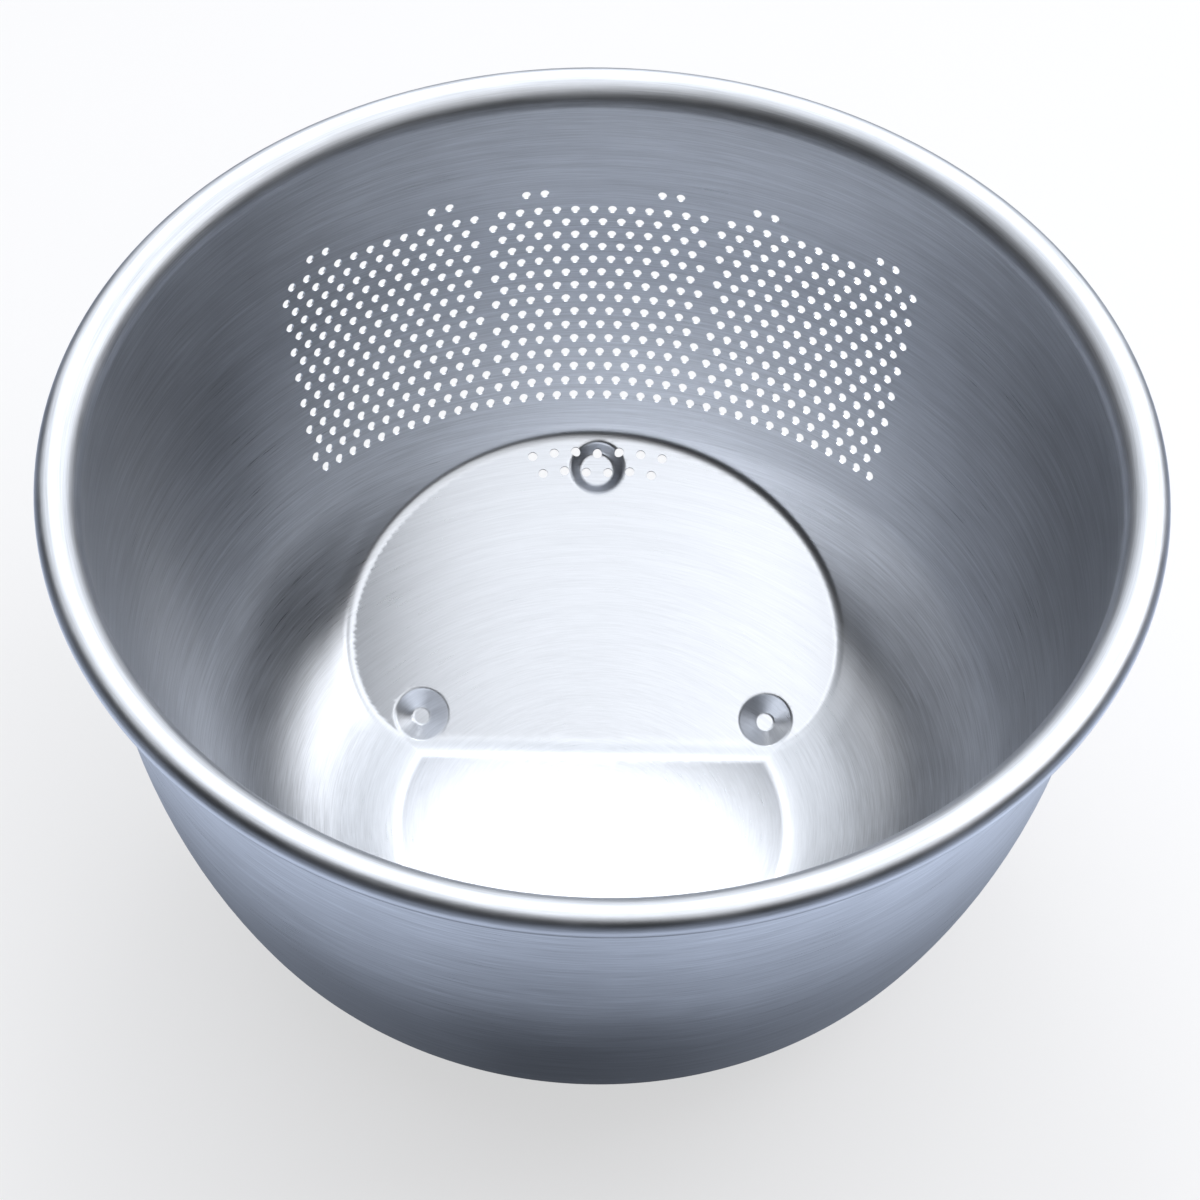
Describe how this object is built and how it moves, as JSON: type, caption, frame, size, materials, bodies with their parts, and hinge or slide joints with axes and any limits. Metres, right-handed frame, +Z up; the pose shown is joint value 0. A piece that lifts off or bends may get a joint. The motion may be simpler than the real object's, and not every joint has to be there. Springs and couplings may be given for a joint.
{
  "type": "rice-washing bowl",
  "caption": "Deep stainless steel bowl with a rolled rim, a perforated back wall and a second, tilted flat on three pressed feet with drain holes.",
  "frame": {"origin": "centre of the flat base, on the table", "axes": "+Z up along the bowl's axis, +Y towards the perforated wall, +X to the right seen from the front"},
  "size_m": [0.24, 0.24, 0.1301],
  "materials": {
    "steel_sheet": "satin",
    "steel_wire": "drawn wire"
  },
  "bodies": {
    "root": {"bowl_shell": "steel_sheet", "rim_wire": "steel_wire"}
  },
  "joints": []
}
